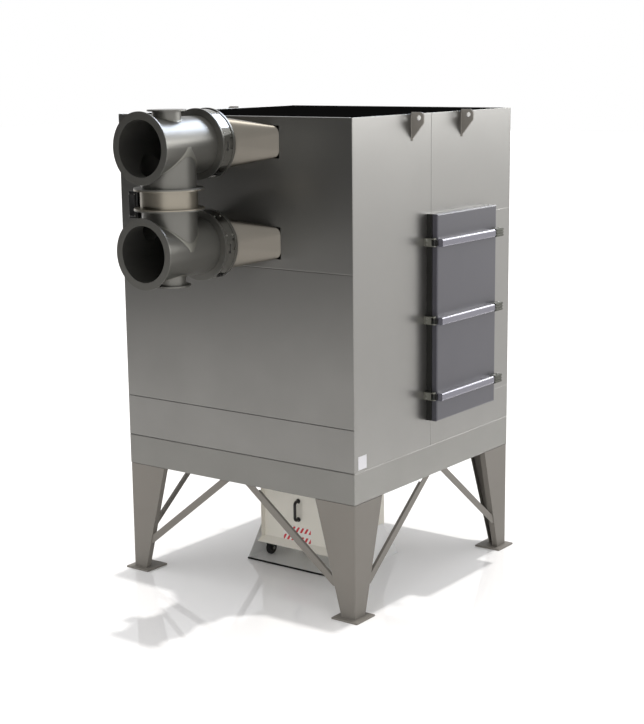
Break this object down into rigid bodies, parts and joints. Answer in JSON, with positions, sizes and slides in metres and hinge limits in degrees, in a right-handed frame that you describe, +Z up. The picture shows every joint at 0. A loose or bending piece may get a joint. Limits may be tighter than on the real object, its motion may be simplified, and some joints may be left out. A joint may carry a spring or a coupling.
{
  "type": "dust extractor",
  "caption": "Free-standing dust extractor: sheet-steel cabinet on folded legs, stacked inlet ducts, barred filter door and a rolling dust bin below.",
  "frame": {"origin": "floor level under the middle of the whole outline", "axes": "+Z up, -Y towards the inlet ducts at the front, +X towards the filter door"},
  "size_m": [2.2356, 2.907, 3.381],
  "materials": {
    "cabinet_steel": "gloss",
    "roof_steel": "matt",
    "skirt_steel": "satin",
    "hopper_steel": "satin",
    "leg_steel": "satin",
    "duct_steel": "gloss",
    "transition_steel": "satin",
    "collar_steel": "gloss",
    "drive_housing": "satin",
    "door_steel": "satin",
    "bracket_steel": "satin",
    "bin_steel": "gloss",
    "handle_plastic": "gloss",
    "caster_steel": "satin",
    "caster_tyre": "matt",
    "tray_steel": "satin"
  },
  "bodies": {
    "cabinet": {"back_beam": "skirt_steel", "back_panel_lower": "cabinet_steel", "back_panel_middle": "cabinet_steel", "back_panel_upper": "cabinet_steel", "braces": "leg_steel", "collar_bands": "collar_steel", "collar_rings": "duct_steel", "damper_drive": "drive_housing", "docking_tray": "tray_steel", "door_frame": "collar_steel", "door_wall_above": "cabinet_steel", "door_wall_below": "cabinet_steel", "door_wall_beside": "cabinet_steel", "door_wall_front": "cabinet_steel", "duct_coupling": "duct_steel", "foot_plates": "leg_steel", "front_beam": "skirt_steel", "front_panel_lower": "cabinet_steel", "front_panel_middle": "cabinet_steel", "front_panel_upper": "cabinet_steel", "hinge_brackets": "bracket_steel", "hinge_pins": "bracket_steel", "hopper_outlet": "hopper_steel", "hopper_sheets": "hopper_steel", "left_beam": "skirt_steel", "left_wall_front": "cabinet_steel", "left_wall_rear": "cabinet_steel", "legs": "leg_steel", "lifting_lugs": "leg_steel", "lower_branch": "duct_steel", "lower_run": "duct_steel", "lower_transition": "transition_steel", "right_beam": "skirt_steel", "roof_deck": "roof_steel", "spigot_caps": "duct_steel", "transition_rims": "transition_steel", "tray_guides": "tray_steel", "upper_branch": "duct_steel", "upper_run": "duct_steel", "upper_transition": "transition_steel"},
    "door": {"door_leaf": "door_steel", "door_bars": "door_steel", "bar_clamps": "bracket_steel", "hinge_knuckles": "collar_steel"},
    "bin": {"bin_sheets": "bin_steel", "bin_floor": "bin_steel", "bin_handle": "handle_plastic"},
    "caster_front_left_swivel": {"caster_fork_front_left": "caster_steel"},
    "caster_front_left_wheel": {"caster_wheel_front_left": "caster_tyre"},
    "caster_front_right_swivel": {"caster_fork_front_right": "caster_steel"},
    "caster_front_right_wheel": {"caster_wheel_front_right": "caster_tyre"},
    "caster_rear_left_swivel": {"caster_fork_rear_left": "caster_steel"},
    "caster_rear_left_wheel": {"caster_wheel_rear_left": "caster_tyre"},
    "caster_rear_right_swivel": {"caster_fork_rear_right": "caster_steel"},
    "caster_rear_right_wheel": {"caster_wheel_rear_right": "caster_tyre"}
  },
  "joints": [
    {"name": "door_hinge", "type": "hinge", "parent": "cabinet", "child": "door", "pos_m": [1.05025, 0.2625, 1.9], "axis": [0, 0, -1], "range_deg": [0, 110]},
    {"name": "bin_roll_out", "type": "slide", "parent": "cabinet", "child": "bin", "axis": [0, 1, 0], "range_m": [0, 1.4]},
    {"name": "caster_front_left_turn", "type": "hinge", "parent": "bin", "child": "caster_front_left_swivel", "pos_m": [-0.36175, 0.1825, 0.115], "axis": [0, 0, 1], "continuous": true},
    {"name": "caster_front_left_roll", "type": "hinge", "parent": "caster_front_left_swivel", "child": "caster_front_left_wheel", "pos_m": [-0.36175, 0.2085, 0.0563], "axis": [1, 0, 0], "continuous": true},
    {"name": "caster_front_right_turn", "type": "hinge", "parent": "bin", "child": "caster_front_right_swivel", "pos_m": [0.31425, 0.1825, 0.115], "axis": [0, 0, 1], "continuous": true},
    {"name": "caster_front_right_roll", "type": "hinge", "parent": "caster_front_right_swivel", "child": "caster_front_right_wheel", "pos_m": [0.31425, 0.2085, 0.0563], "axis": [1, 0, 0], "continuous": true},
    {"name": "caster_rear_left_turn", "type": "hinge", "parent": "bin", "child": "caster_rear_left_swivel", "pos_m": [-0.36175, 0.6385, 0.115], "axis": [0, 0, 1], "continuous": true},
    {"name": "caster_rear_left_roll", "type": "hinge", "parent": "caster_rear_left_swivel", "child": "caster_rear_left_wheel", "pos_m": [-0.36175, 0.6645, 0.0563], "axis": [1, 0, 0], "continuous": true},
    {"name": "caster_rear_right_turn", "type": "hinge", "parent": "bin", "child": "caster_rear_right_swivel", "pos_m": [0.31425, 0.6385, 0.115], "axis": [0, 0, 1], "continuous": true},
    {"name": "caster_rear_right_roll", "type": "hinge", "parent": "caster_rear_right_swivel", "child": "caster_rear_right_wheel", "pos_m": [0.31425, 0.6645, 0.0563], "axis": [1, 0, 0], "continuous": true}
  ]
}
